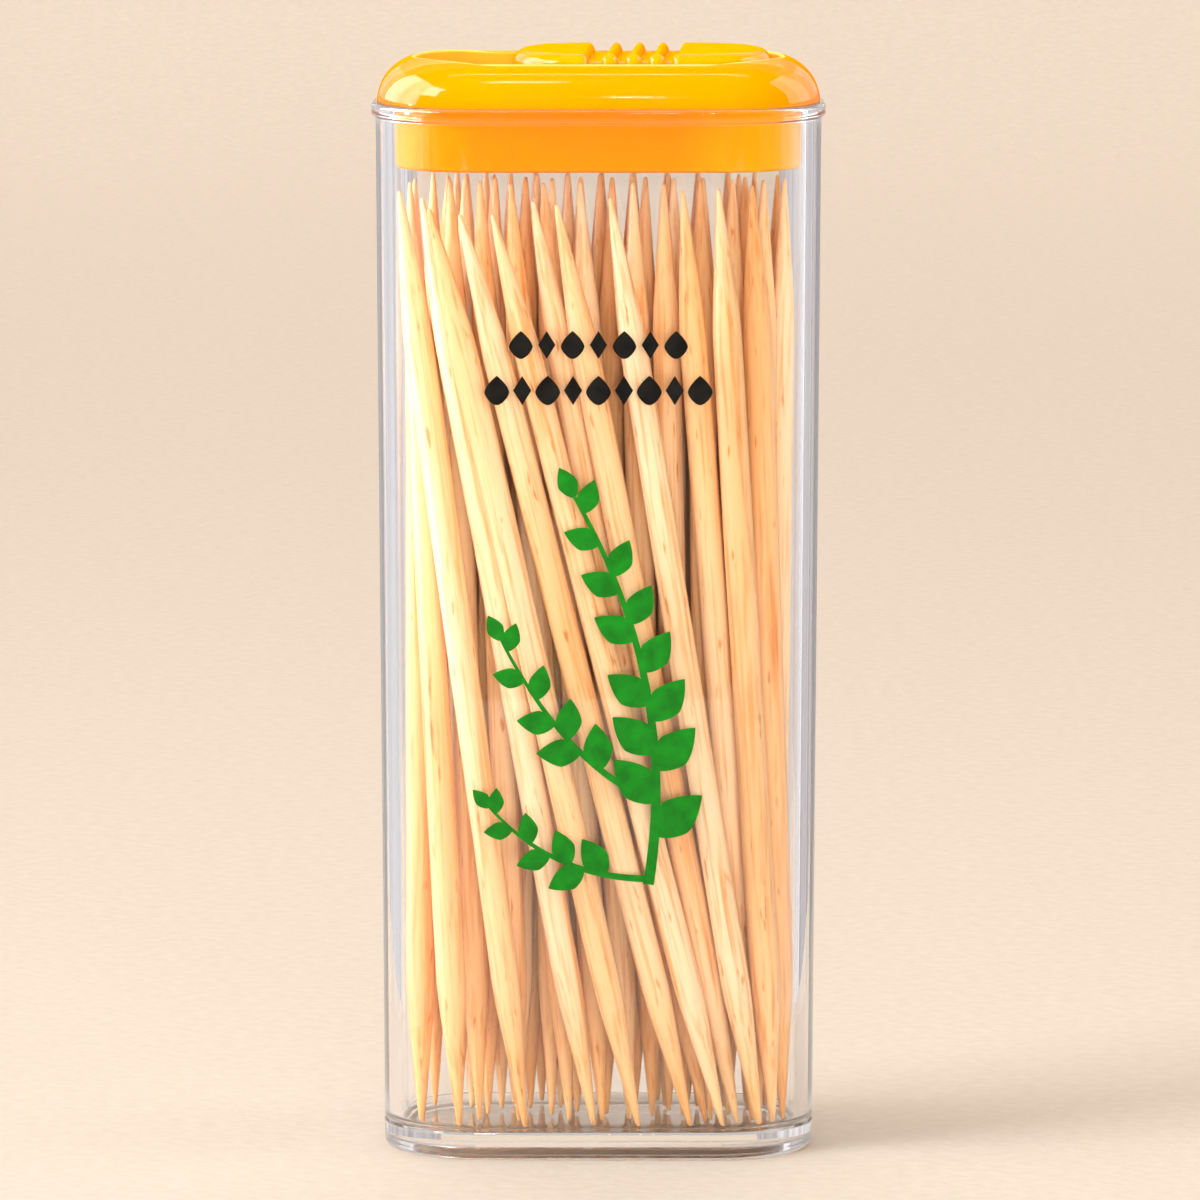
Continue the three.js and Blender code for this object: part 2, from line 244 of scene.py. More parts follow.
def multiplied(tree, a, b):
    """One colour times another."""
    mix = node(tree, "ShaderNodeMix", data_type="RGBA", blend_type="MULTIPLY")
    mix.inputs["Factor"].default_value = 1.0
    tree.links.new(a, mix.inputs["A"])
    tree.links.new(b, mix.inputs["B"])
    return mix.outputs["Result"]


def blended(tree, share, a, b):
    """A colour with a fixed one over it, by a share."""
    mix = fill(node(tree, "ShaderNodeMix", data_type="RGBA"), B=(*b, 1))
    tree.links.new(share, mix.inputs["Factor"])
    tree.links.new(a, mix.inputs["A"])
    return mix.outputs["Result"]


def relief(tree, height, strength, distance):
    """Shading as if the surface rose and fell by a value."""
    bump = fill(node(tree, "ShaderNodeBump"), Strength=strength, Distance=distance)
    tree.links.new(height, bump.inputs["Height"])
    return bump.outputs["Normal"]


PEBBLE_SHARE = 0.06  # how much of the surface's height is pebble


def moulded_group():
    """The fine unevenness of moulded plastic: flow waves, a faint pebble and smudges."""
    group, given, out = new_group(
        "moulded_surface",
        [("Vector", "NodeSocketVector", None), ("Wave Scale", "NodeSocketFloat", 120.0),
         ("Pebble Scale", "NodeSocketFloat", 4000.0), ("Smoothest", "NodeSocketFloat", 0.05),
         ("Roughest", "NodeSocketFloat", 0.2)],
        [("Roughness", "NodeSocketFloat"), ("Height", "NodeSocketFloat"), ("Smudge", "NodeSocketFloat")],
    )
    links = group.links
    place = given.outputs["Vector"]
    waves = cloudy(group, place, Detail=1.5)
    pebble = cloudy(group, place, Detail=2.0)
    smudges = cloudy(group, place, Scale=260.0, Detail=6.0, Distortion=0.6)
    links.new(given.outputs["Wave Scale"], waves.inputs["Scale"])
    links.new(given.outputs["Pebble Scale"], pebble.inputs["Scale"])
    rough = fill(node(group, "ShaderNodeMapRange"), From_Min=0.42, From_Max=0.75)
    links.new(smudges.outputs["Fac"], rough.inputs["Value"])
    links.new(given.outputs["Smoothest"], rough.inputs["To Min"])
    links.new(given.outputs["Roughest"], rough.inputs["To Max"])
    share = node(group, "ShaderNodeMath", operation="MULTIPLY")
    share.inputs[1].default_value = PEBBLE_SHARE
    links.new(pebble.outputs["Fac"], share.inputs[0])
    height = node(group, "ShaderNodeMath", operation="ADD")
    links.new(waves.outputs["Fac"], height.inputs[0])
    links.new(share.outputs["Value"], height.inputs[1])
    links.new(rough.outputs["Result"], out.inputs["Roughness"])
    links.new(height.outputs["Value"], out.inputs["Height"])
    links.new(smudges.outputs["Fac"], out.inputs["Smudge"])
    return group


MOULDED = moulded_group()

# Sizes of the masks that place painted light on the cap
SOFT_EDGE = 0.0001  # metres over which a mask fades in height
INSIDE_EDGE = 0.00006  # and across the recess's side
LIP_MIDDLE = 0.00012  # how far outside that side the lip lies
LIP_FULL, LIP_NONE = 0.00006, 0.00016  # distances from its middle
SKIRT_TOP_FADE = (0.0722, 0.0712)
SKIRT_END_FADE = (0.005, 0.013)


def recess_group():
    """Masks for painted light: inside the hollow in the cap's top, on the lip round it and at the skirt's
    right-hand end.
    """
    group, given, out = new_group(
        "recess_painted_light_masks",
        [("Vector", "NodeSocketVector", None), ("Half Length", "NodeSocketFloat", 0.0067),
         ("Radius", "NodeSocketFloat", 0.0058), ("Floor Height", "NodeSocketFloat", 0.0731)],
        [("Inside", "NodeSocketFloat"), ("Lip", "NodeSocketFloat"), ("Skirt End", "NodeSocketFloat")],
    )
    links = group.links

    def result(operation, a, b=None):
        made = node(group, "ShaderNodeMath", operation=operation)
        for source, socket in zip((a, b), made.inputs):
            if isinstance(source, float):
                socket.default_value = source
            elif source is not None:
                links.new(source, socket)
        return made.outputs["Value"]

    def between(source, low, high):
        return mapped(group, source, From_Min=low, From_Max=high)

    place = node(group, "ShaderNodeSeparateXYZ")
    links.new(given.outputs["Vector"], place.inputs["Vector"])
    sideways = result("ABSOLUTE", place.outputs["X"])
    past = result("MAXIMUM", result("SUBTRACT", sideways, given.outputs["Half Length"]), 0.0)
    plan = node(group, "ShaderNodeCombineXYZ")
    links.new(past, plan.inputs["X"])
    links.new(place.outputs["Y"], plan.inputs["Y"])
    reach = node(group, "ShaderNodeVectorMath", operation="LENGTH")
    links.new(plan.outputs["Vector"], reach.inputs[0])
    off = result("SUBTRACT", reach.outputs["Value"], given.outputs["Radius"])
    rise = result("SUBTRACT", place.outputs["Z"], given.outputs["Floor Height"])
    over = between(rise, -SOFT_EDGE, SOFT_EDGE)
    inside = between(off, INSIDE_EDGE, -INSIDE_EDGE)
    links.new(result("MULTIPLY", over, inside), out.inputs["Inside"])
    near = between(result("ABSOLUTE", result("SUBTRACT", off, LIP_MIDDLE)), LIP_NONE, LIP_FULL)
    links.new(result("MULTIPLY", over, near), out.inputs["Lip"])
    below = between(place.outputs["Z"], *SKIRT_TOP_FADE)
    end = between(place.outputs["X"], *SKIRT_END_FADE)
    links.new(result("MULTIPLY", below, end), out.inputs["Skirt End"])
    return group


RECESS = recess_group()

# Painted bounce light: a brighter colour inside the recess.
RECESS_PAINTED_BOUNCE_LIGHT = (1.0, 0.52, 0.0)
# Painted highlight: a paler lip round the recess.
LIP_PAINTED_HIGHLIGHT = (1.0, 0.68, 0.12)
# Painted light: a brighter right-hand end of the skirt, as if lit through the plastic.
SKIRT_END_PAINTED_LIGHT = (1.0, 0.45, 0.0)
THICKNESS_AND_PAINTED_LIGHT_LEAN = (-3.0, 0.0, 110.0)  # the tone rises with height, and a little towards the left-hand end: painted light from above and the left, and a deeper colour in the thick skirt


def coloured_plastic(name, deep, bright, smoothest, roughest, recessed=False):
    """Glossy coloured plastic, a little cloudy inside, with painted light in its tone and, when recessed,
    in and round its recess.
    """
    material, tree, shader = material_tree(name)
    links = tree.links
    place = object_place(tree)
    surface = placed(tree, MOULDED, place, Wave_Scale=90.0, Smoothest=smoothest, Roughest=roughest)
    cloud = cloudy(tree, place, Scale=55.0, Detail=3.0)
    # Painted light, with a deeper colour in the thick skirt: the tone is lifted towards the top and the
    # left-hand end.
    rise = node(tree, "ShaderNodeVectorMath", operation="DOT_PRODUCT")
    rise.inputs[1].default_value = THICKNESS_AND_PAINTED_LIGHT_LEAN
    links.new(place, rise.inputs[0])
    lean = mapped(tree, rise.outputs["Value"], From_Min=7.9, From_Max=8.3, To_Min=-0.3, To_Max=0.35)
    tone = node(tree, "ShaderNodeMath", operation="ADD")
    links.new(cloud.outputs["Fac"], tone.inputs[0])
    links.new(lean, tone.inputs[1])
    colour = ramp(tree, tone.outputs["Value"], [(0.15, deep), (0.85, bright)])
    # Painted light: bounced light inside the recess, a highlight on its lip and light at the skirt's
    # right-hand end.
    if recessed:
        masks = placed(tree, RECESS, place)
        for mask, painted_light_colour in (("Inside", RECESS_PAINTED_BOUNCE_LIGHT), ("Lip", LIP_PAINTED_HIGHLIGHT), ("Skirt End", SKIRT_END_PAINTED_LIGHT)):
            colour = blended(tree, masks.outputs[mask], colour, painted_light_colour)
    links.new(colour, shader.inputs["Base Color"])
    links.new(surface.outputs["Roughness"], shader.inputs["Roughness"])
    links.new(relief(tree, surface.outputs["Height"], 0.25, 0.00003), shader.inputs["Normal"])
    # The gloss fades towards the edges, which would otherwise turn pale.
    slant = fill(node(tree, "ShaderNodeLayerWeight"), Blend=0.5)
    shine = mapped(tree, slant.outputs["Facing"], From_Min=0.5, From_Max=0.85, To_Min=0.34, To_Max=0.0)
    links.new(shine, shader.inputs["Specular IOR Level"])
    fill(shader, IOR=1.5, Subsurface_Weight=0.3, Subsurface_Radius=(1.0, 0.45, 0.06),
         Subsurface_Scale=0.0015)
    return material


# Painted shade over the hollow under the floor, as if it lay in shadow
UNDERSIDE_PAINTED_SHADE = (0.5, 0.43, 0.38)
FOOT_SHADOW, WALL_SHADOW = (0.58, 0.5, 0.43), (0.96, 0.965, 0.97)  # colours that shadows are let through in
# Colours of the painted glow, from foot to rim, for rays trapped in the walls
FOOT_GLOW, WALL_GLOW, RIM_GLOW = (0.6, 0.57, 0.54), (0.3, 0.285, 0.275), (0.68, 0.64, 0.6)
TRAPPED_AFTER = 2.5  # reflections


def clear_plastic():
    """Clear stiff plastic that lets the light in to what it holds."""
    material, tree, shader = material_tree("clear_box_plastic")
    links = tree.links
    place = object_place(tree)
    surface = placed(tree, MOULDED, place, Wave_Scale=70.0, Smoothest=0.0, Roughest=0.035)
    clean = ramp(tree, surface.outputs["Smudge"], [(0.3, (0.985, 0.99, 1.0)), (0.8, (0.965, 0.975, 0.99))])
    # Painted shade: the hollow under the floor is darkened.
    under = node(tree, "ShaderNodeAttribute", attribute_name="underside")
    shade = ramp(tree, under.outputs["Fac"], [(0.0, WHITE), (1.0, UNDERSIDE_PAINTED_SHADE)])
    links.new(multiplied(tree, clean, shade), shader.inputs["Base Color"])
    links.new(surface.outputs["Roughness"], shader.inputs["Roughness"])
    links.new(relief(tree, surface.outputs["Height"], 0.15, 0.00002), shader.inputs["Normal"])
    fill(shader, IOR=1.56, Transmission_Weight=1.0)
    # Shadows are let through, darker and browner at the foot.
    level = node(tree, "ShaderNodeSeparateXYZ")
    links.new(place, level.inputs["Vector"])
    above_floor = mapped(tree, level.outputs["Z"], From_Min=0.0018, From_Max=0.0032)
    open_to_lamps = node(tree, "ShaderNodeBsdfTransparent")
    links.new(ramp(tree, above_floor, [(0.0, FOOT_SHADOW), (1.0, WALL_SHADOW)]),
              open_to_lamps.inputs["Color"])
    path = node(tree, "ShaderNodeLightPath")
    choice = node(tree, "ShaderNodeMixShader")
    links.new(path.outputs["Is Shadow Ray"], choice.inputs["Fac"])
    links.new(shader.outputs["BSDF"], choice.inputs[1])
    links.new(open_to_lamps.outputs["BSDF"], choice.inputs[2])
    # Rays that have run a long way along inside the walls end in a painted pale glow, in place of the light
    # they would bring out.
    trapped = node(tree, "ShaderNodeMath", operation="GREATER_THAN")
    trapped.inputs[1].default_value = TRAPPED_AFTER
    links.new(path.outputs["Glossy Depth"], trapped.inputs[0])
    glow = node(tree, "ShaderNodeEmission")
    height = mapped(tree, level.outputs["Z"], From_Max=RIM_Z * MM)
    glows = [(0.03, FOOT_GLOW), (0.05, WALL_GLOW), (0.972, WALL_GLOW), (0.982, RIM_GLOW)]
    links.new(ramp(tree, height, glows), glow.inputs["Color"])
    ending = node(tree, "ShaderNodeMixShader")
    links.new(trapped.outputs["Value"], ending.inputs["Fac"])
    links.new(choice.outputs["Shader"], ending.inputs[1])
    links.new(glow.outputs["Emission"], ending.inputs[2])
    links.new(ending.outputs["Shader"], tree.nodes["Material Output"].inputs["Surface"])
    material.cycles.emission_sampling = "NONE"
    return material


def bamboo():
    """Pale split bamboo, with its fibres along the stick. It reads the stick's own attributes."""
    material, tree, shader = material_tree("bamboo_sticks")
    links = tree.links
    along = node(tree, "ShaderNodeAttribute", attribute_name="stick").outputs["Vector"]

    def grain(scale, detail, length):
        """Noise drawn out along the stick. A small length factor makes long grain."""
        stretch = fill(node(tree, "ShaderNodeMapping"), Scale=(1.0, 1.0, length))
        links.new(along, stretch.inputs["Vector"])
        return cloudy(tree, stretch.outputs["Vector"], Scale=scale, Detail=detail).outputs["Fac"]

    fibres = grain(3.4, 4.0, 0.045)
    pale = ramp(tree, grain(0.09, 1.0, 0.25),
                [(0.36, (0.88, 0.48, 0.195)), (0.5, (0.96, 0.585, 0.285)), (0.66, (0.985, 0.7, 0.425))])
    lines = ramp(tree, fibres, [(0.28, (0.82, 0.6, 0.38)), (0.5, WHITE)])
    warm = ramp(tree, grain(1.7, 3.0, 0.035), [(0.58, WHITE), (0.72, (0.9, 0.68, 0.44))])
    flecks = ramp(tree, grain(2.6, 2.0, 0.16), [(0.66, WHITE), (0.74, (0.78, 0.5, 0.28))])
    ends = node(tree, "ShaderNodeAttribute", attribute_name="point")
    tips = ramp(tree, ends.outputs["Fac"], [(0.0, WHITE), (1.0, (1.0, 0.88, 0.68))])
    colour = pale
    for layer in (lines, warm, flecks, tips):
        colour = multiplied(tree, colour, layer)
    links.new(colour, shader.inputs["Base Color"])
    links.new(mapped(tree, fibres, To_Min=0.46, To_Max=0.26), shader.inputs["Roughness"])
    links.new(relief(tree, fibres, 0.35, 0.00005), shader.inputs["Normal"])
    fill(shader, Subsurface_Weight=0.15, Subsurface_Radius=(1.0, 0.42, 0.12), Subsurface_Scale=0.0012)
    return material


def printing_ink(name, dark, light):
    """Opaque printing ink that covers a little unevenly."""
    material, tree, shader = material_tree(name)
    links = tree.links
    patches = cloudy(tree, object_place(tree), Scale=900.0, Detail=5.0).outputs["Fac"]
    links.new(ramp(tree, patches, [(0.35, dark), (0.7, light)]), shader.inputs["Base Color"])
    links.new(mapped(tree, patches, To_Min=0.35, To_Max=0.6), shader.inputs["Roughness"])
    links.new(relief(tree, patches, 0.3, 0.00001), shader.inputs["Normal"])
    fill(shader, Specular_IOR_Level=0.3)
    return material


CLEAR = clear_plastic()
CAP_YELLOW = coloured_plastic("golden_cap_plastic", (1.0, 0.27, 0.0), (1.0, 0.338, 0.0),
                              0.04, 0.12, recessed=True)
GATE_YELLOW = coloured_plastic("golden_gate_plastic", (1.0, 0.3, 0.0), (1.0, 0.37, 0.0), 0.05, 0.13)
BAMBOO = bamboo()
GREEN_INK = printing_ink("green_ink", (0.001, 0.13, 0.003), (0.002, 0.22, 0.007))
BLACK_INK = printing_ink("black_ink", (0.002, 0.002, 0.002), (0.008, 0.008, 0.007))


# Clear box

GROOVE_Z, GROOVE_DEPTH = 1.95, 0.12
HOLLOW_Z, HOLLOW_INSET = 0.72, 2.45  # the hollow under the floor, inside the foot ring
BEAD_Z, BEAD_PROUD = RIM_Z - 1.0, 0.27
MIDDLE_RADIUS = 2.5  # where a spun floor stops, to be filled in flat


def past_corners(x, y):
    """How far a place in plan lies from the nearest line between the middles of the round corners."""
    return math.hypot(max(abs(x) - CORNER_X, 0), max(abs(y) - CORNER_Y, 0))


def wall_at(inset, z):
    """The radius of the leaning wall at a height."""
    lean = DRAFT * (1 - z / RIM_Z)
    return WALL_RADIUS - lean - inset


def clear_box():
    """The box with its foot ring, groove line and rim bead. The hollow underneath is marked for a painted
    shade.
    """
    profile = [
        (MIDDLE_RADIUS, HOLLOW_Z, 0),
        (WALL_RADIUS - HOLLOW_INSET, HOLLOW_Z, 0.2),
        (WALL_RADIUS - HOLLOW_INSET, 0.0, 0.15),
        (wall_at(0, 0), 0.0, 0.6),
        (wall_at(0, GROOVE_Z - 0.13), GROOVE_Z - 0.13, 0.1),
        (wall_at(GROOVE_DEPTH, GROOVE_Z), GROOVE_Z, 0),
        (wall_at(0.02, GROOVE_Z + 0.25), GROOVE_Z + 0.25, 0.1),
        (wall_at(0, BEAD_Z), BEAD_Z, 0.15),
        (WALL_RADIUS + BEAD_PROUD, BEAD_Z + 0.16, 0.2),
        (WALL_RADIUS + BEAD_PROUD, RIM_Z, 0.3),
        (WALL_RADIUS - WALL, RIM_Z, 0.15),
        (wall_at(WALL, FLOOR_Z), FLOOR_Z, 0.8),
        (MIDDLE_RADIUS, FLOOR_Z, 0),
    ]
    bm = closed(drawn_out(spun(profile), CORNER_X, CORNER_Y))
    # Marks the hollow under the floor for a painted shade.
    under = bm.verts.layers.float.new("underside")
    for vert in bm.verts:
        in_hollow = past_corners(vert.co.x, vert.co.y) < WALL_RADIUS - HOLLOW_INSET + 0.25
        vert[under] = float(vert.co.z < HOLLOW_Z + 0.1 and in_hollow)
    piece = finished("clear_box", bm, CLEAR)
    piece.modifiers.new("even_shading", "WEIGHTED_NORMAL").keep_sharp = True
    return kept(piece)


box_piece = clear_box()
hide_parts("container")
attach(box_piece, "container")


# Cap

SKIRT_OUT, SKIRT_IN = CAP_RADIUS - 1.3, CAP_RADIUS - 2.3
DOME_STEPS, DOME_ARC = 16, 65  # the dome is drawn through this many steps of an arc in degrees
RECESS_RIM = 3.0  # a height above the whole recess, where its open rim is drawn first
RECESS_FLARE = 0.16
ABOVE_FLOOR = 2.2  # a height between the recess's floor and its rim
UNDERSIDE_MIDDLE, FLOOR_MIDDLE = 2.0, 1.5  # radii where spun faces stop, to be filled in flat
HOLE_X, HOLE_SIZE, HOLE_ROUNDING = 8.4, 5.0, 1.2
SLOT_LENGTH, SLOT_WIDTH = 8.8, 4.6
CUT_HEIGHT, CUT_MIDDLE = 3.0, 0.6


def dome_height(x, y):
    """How high the dome is over the rim at a place in plan."""
    inset = min(CAP_RADIUS - past_corners(x, y), DOME_SHOULDER)
    return DOME_HEIGHT * math.sqrt(1 - (1 - inset / DOME_SHOULDER) ** 2)


def cap():
    """The dome with its recess and skirt, and the hole and the slot cut through the recess's floor."""
    arc = [math.radians(DOME_ARC * k / DOME_STEPS) for k in range(1, DOME_STEPS + 1)]
    shoulder = [(CAP_RADIUS - DOME_SHOULDER * (1 - math.cos(a)), DOME_HEIGHT * math.sin(a), 0) for a in arc]
    outside = drawn_out(spun([
        (UNDERSIDE_MIDDLE, 0, 0),
        (SKIRT_IN, 0, 0.35),
        (SKIRT_IN, -SKIRT_HEIGHT, 0.3),
        (SKIRT_OUT, -SKIRT_HEIGHT, 0.3),
        (SKIRT_OUT, 0, 0.1),
        (CAP_RADIUS, 0, 0.12),
        *shoulder,
    ]), CORNER_X, CORNER_Y)
    recess = drawn_out(spun([
        (RECESS_RADIUS + RECESS_FLARE, RECESS_RIM, 0),
        (RECESS_RADIUS, RECESS_RIM - RECESS_FLARE, 0),
        (RECESS_RADIUS, CAP_FLOOR, 0.3),
        (FLOOR_MIDDLE, CAP_FLOOR, 0),
    ]), RECESS_X, 0)
    # The recess's two upper rings are laid just under the dome, and then bridged to it.
    for vert in recess.verts:
        if vert.co.z > RECESS_RIM - 0.1:
            vert.co.z = dome_height(vert.co.x, vert.co.y) - 0.02
        elif vert.co.z > RECESS_RIM - 0.2:
            vert.co.z = dome_height(vert.co.x, vert.co.y) - 0.2
    bm = joined([outside, recess])
    upper = [e for e in bm.edges if e.is_boundary and min(v.co.z for v in e.verts) > ABOVE_FLOOR]
    bmesh.ops.bridge_loops(bm, edges=upper)
    closed(bm)
    bmesh.ops.translate(bm, verts=bm.verts, vec=(0, 0, RIM_Z))
    piece = finished("cap_shell", bm, CAP_YELLOW)
    hole = block((HOLE_SIZE, HOLE_SIZE, CUT_HEIGHT), (HOLE_X, 0, RIM_Z + CUT_MIDDLE), HOLE_ROUNDING,
                 upright=True)
    slot = block((SLOT_LENGTH, SLOT_WIDTH, CUT_HEIGHT), (0, 0, RIM_Z + CUT_MIDDLE))
    return cut_and_joined(piece, ("DIFFERENCE", hole), ("DIFFERENCE", slot))


cap_piece = cap()
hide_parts("cap")
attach(cap_piece, "cap")


# Sliding gate

RIB_PITCH, RIB_SHIFT, RIB_LEAN = 1.6, -0.4, 0.05
RIB_HALF = 0.4
FRONT_RIB_WIDER, BACK_RIB_WIDER = 0.14, 0.03
GATE_SHOULDER = 0.9
SCOOP_DEPTH, FRONT_DEEPER, BACK_DEEPER = 0.6, 0.45, 0.25
SCOOP_MIDDLE, SCOOP_EASE = 3.6, 1.6  # half the width of even depth, and the width over which it deepens
SCOOP_LEFT, SCOOP_RIGHT = 0.34, 0.32  # how far the scoop reaches past its outermost ribs' middles
SCOOP_END = 0.5  # how far the scoop's ends rise over
GATE_FULLNESS = 2.4  # 2 would make the gate's ends half circles
BALL_LENGTH, BALL_WIDTH, BALL_Y, BALL_HEIGHT = 0.58, 0.68, -4.88, 0.62
GATE_ACROSS, GATE_ALONG = 150, 340  # cells of the grid that the upper side is drawn on
GRID_CROWDING = 0.55  # how much the cells crowd towards the gate's ends, where its side turns most
LEG_LENGTH, LEG_WIDTH, LEG_HEIGHT, LEG_Y, LEG_Z = 2.4, 0.8, 2.9, 1.7, -1.05
HOOK_WIDTH, HOOK_HEIGHT, HOOK_Y, HOOK_Z = 0.9, 0.8, 2.15, -1.8


def eased(share):
    """A rise from 0 to 1 that is level at both ends."""
    share = min(max(share, 0.0), 1.0)
    return share * share * (3 - 2 * share)


def rounded_off(share):
    """A rise from 0 to 1 that starts level and ends upright, as a quarter round does."""
    share = min(max(share, 0.0), 1.0)
    return 1 - math.sqrt(1 - share * share)


def gate_top(x, y):
    """The height of the gate's upper side in plan: round shoulders, a scoop and its finger ribs."""
    ends = max(abs(x) - GATE_X, 0) ** GATE_FULLNESS + abs(y) ** GATE_FULLNESS
    inset = GATE_RADIUS - ends ** (1 / GATE_FULLNESS)
    short = max(GATE_SHOULDER - inset, 0)
    body = GATE_HEIGHT - GATE_SHOULDER + math.sqrt(max(GATE_SHOULDER ** 2 - short ** 2, 0))
    along = x - RIB_SHIFT - RIB_LEAN * y
    front = eased((-SCOOP_MIDDLE - y) / SCOOP_EASE)
    back = eased((y - SCOOP_MIDDLE) / SCOOP_EASE)
    left_end = rounded_off((along + 2 * RIB_PITCH + SCOOP_LEFT) / SCOOP_END)
    right_end = rounded_off((2 * RIB_PITCH + SCOOP_RIGHT - along) / SCOOP_END)
    floor = body - (SCOOP_DEPTH + FRONT_DEEPER * front + BACK_DEEPER * back) * (left_end * right_end)
    height = floor
    for k in (-1, 0, 1, 2):
        off = along - k * RIB_PITCH
        half = RIB_HALF + FRONT_RIB_WIDER * front + BACK_RIB_WIDER * back
        if abs(off) < half:
            height = max(height, floor + (body - floor) * math.sqrt(1 - (off / half) ** 2))
        ball = 1 - (off / BALL_LENGTH) ** 2 - ((y - BALL_Y) / BALL_WIDTH) ** 2
        if ball > 0:
            height = max(height, GATE_HEIGHT - BALL_HEIGHT + BALL_HEIGHT * math.sqrt(ball))
    return height


def gate():
    """The upper side is drawn as heights over the plan, then closed by its side and underside."""
    top = bmesh.new()
    bmesh.ops.create_grid(top, x_segments=GATE_ALONG, y_segments=GATE_ACROSS, size=1.0)
    for vert in top.verts:
        y = GATE_RADIUS * math.sin(vert.co.y * math.pi / 2)
        half = max(GATE_RADIUS ** GATE_FULLNESS - abs(y) ** GATE_FULLNESS, 0)
        reach = GATE_X + half ** (1 / GATE_FULLNESS)
        crowded = math.sin(vert.co.x * math.pi / 2)
        x = reach * (GRID_CROWDING * crowded + (1 - GRID_CROWDING) * vert.co.x)
        vert.co = (x, y, gate_top(x, y))
    wall = bmesh.ops.extrude_edge_only(top, edges=[e for e in top.edges if e.is_boundary])
    for vert in (g for g in wall["geom"] if isinstance(g, bmesh.types.BMVert)):
        vert.co.z = 0
    parts = [closed(top)]
    for side in (-1, 1):
        parts.append(block((LEG_LENGTH, LEG_WIDTH, LEG_HEIGHT), (0, side * LEG_Y, LEG_Z)))
        hook = block((LEG_LENGTH, HOOK_WIDTH, HOOK_HEIGHT), (0, side * HOOK_Y, HOOK_Z))
        foot = [v for v in hook.verts if v.co.z < HOOK_Z and v.co.y * side > HOOK_Y + 0.05]
        bmesh.ops.translate(hook, verts=foot, vec=(0, -0.4 * side, -0.3))
        parts.append(hook)
    bm = joined(parts)
    bmesh.ops.translate(bm, verts=bm.verts, vec=(GATE_MIDDLE, 0, GATE_Z))
    return finished("gate_button", bm, GATE_YELLOW, 60)


gate_piece = gate()
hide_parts("slide_gate")
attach(gate_piece, "gate")


# Toothpicks

PICK_COUNT = 57
END_REACH = 0.6  # how far from its outermost corner a stick's end face reaches, on the solid
TIP_LENGTH, TIP_RADIUS = 0.25, 0.16
TAPER_END, TAPER_RADIUS = 6.5, 0.73
SHOULDER_END, BODY_RADIUS = 11, 0.99
HALF_HEIGHTS = [0.01, 0.05, 0.12, 0.25, 0.7, 1.7, 3.2, 4.8, 6.5, 7.6, 8.8, 10.2, 12.0, 17.0, 24.0, 32.5]
UNEVENNESS, THINNER = 0.035, 0.03  # shares of the radius
STICK_SIDES = 20
TURN_APART = 2.4  # angle from one stick's grain to the next one's
POINT_REACH = 9.0  # how far from a tip its darker tint reaches
UPPER_TINT = 0.1  # how much of that tint the upper tips have


def axis_of(name):
    """A stick's foot and direction, from the solid that it stands for."""
    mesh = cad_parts[name].data
    points = [v.co / MM for v in mesh.vertices]
    low = min(points, key=lambda p: p.z)
    high = max(points, key=lambda p: p.z)
    foot = [p for p in points if (p - low).length < END_REACH]
    head = [p for p in points if (p - high).length < END_REACH]
    foot = sum(foot, Vector()) / len(foot)
    head = sum(head, Vector()) / len(head)
    return foot, (head - foot).normalized()


def stick_radius(from_tip):
    """The stick's radius at a distance from its nearer tip."""
    if from_tip < TIP_LENGTH:
        return TIP_RADIUS * math.sqrt(max(0.0, 1 - (1 - from_tip / TIP_LENGTH) ** 2))
    if from_tip < TAPER_END:
        share = (from_tip - TIP_LENGTH) / (TAPER_END - TIP_LENGTH)
        return TIP_RADIUS + (TAPER_RADIUS - TIP_RADIUS) * share ** 0.9
    if from_tip < SHOULDER_END:
        share = (from_tip - TAPER_END) / (SHOULDER_END - TAPER_END)
        return TAPER_RADIUS + (BODY_RADIUS - TAPER_RADIUS) * math.sin(share * math.pi / 2)
    return BODY_RADIUS


def stick_piece(number):
    """A slightly uneven stick in place of the numbered solid, along its axis."""
    name = f"pick_{number:02d}"
    foot, way = axis_of(name)
    heights = HALF_HEIGHTS + [PICK_LENGTH - h for h in reversed(HALF_HEIGHTS[:-1])]
    seed = Vector((number * 3.7, number * 1.9, number * 5.3))
    bm = spun([(stick_radius(min(h, PICK_LENGTH - h)), h, 0) for h in heights], STICK_SIDES)
    for vert in bm.verts:
        h = vert.co.z
        side = Vector((vert.co.x, vert.co.y, 0))
        if side.length > 0:
            flat = UNEVENNESS * noise.noise(Vector((side.x * 1.6, side.y * 1.6, h * 0.05)) + seed)
            side *= 1 - THINNER + flat
        vert.co = Vector((side.x, side.y, h))
    closed(bm)
    own = bm.verts.layers.float_vector.new("stick")
    point = bm.verts.layers.float.new("point")
    for vert in bm.verts:
        vert[own] = vert.co + seed * 4
        from_tip = min(vert.co.z, PICK_LENGTH - vert.co.z)
        tint = UPPER_TINT if vert.co.z > PICK_LENGTH / 2 else 1.0
        vert[point] = max(0.0, 1 - from_tip / POINT_REACH) * tint
    turn = Matrix.Rotation(number * TURN_APART, 4, "Z")
    lean = Vector((0, 0, 1)).rotation_difference(way).to_matrix().to_4x4()
    place = Matrix.Translation(foot) @ lean @ turn
    bmesh.ops.transform(bm, matrix=place, verts=bm.verts)
    piece = finished(f"bamboo_{name}", bm, BAMBOO, 60)
    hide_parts(name)
    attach(piece, "container")


for number in range(1, PICK_COUNT + 1):
    stick_piece(number)


# Printing on the front wall

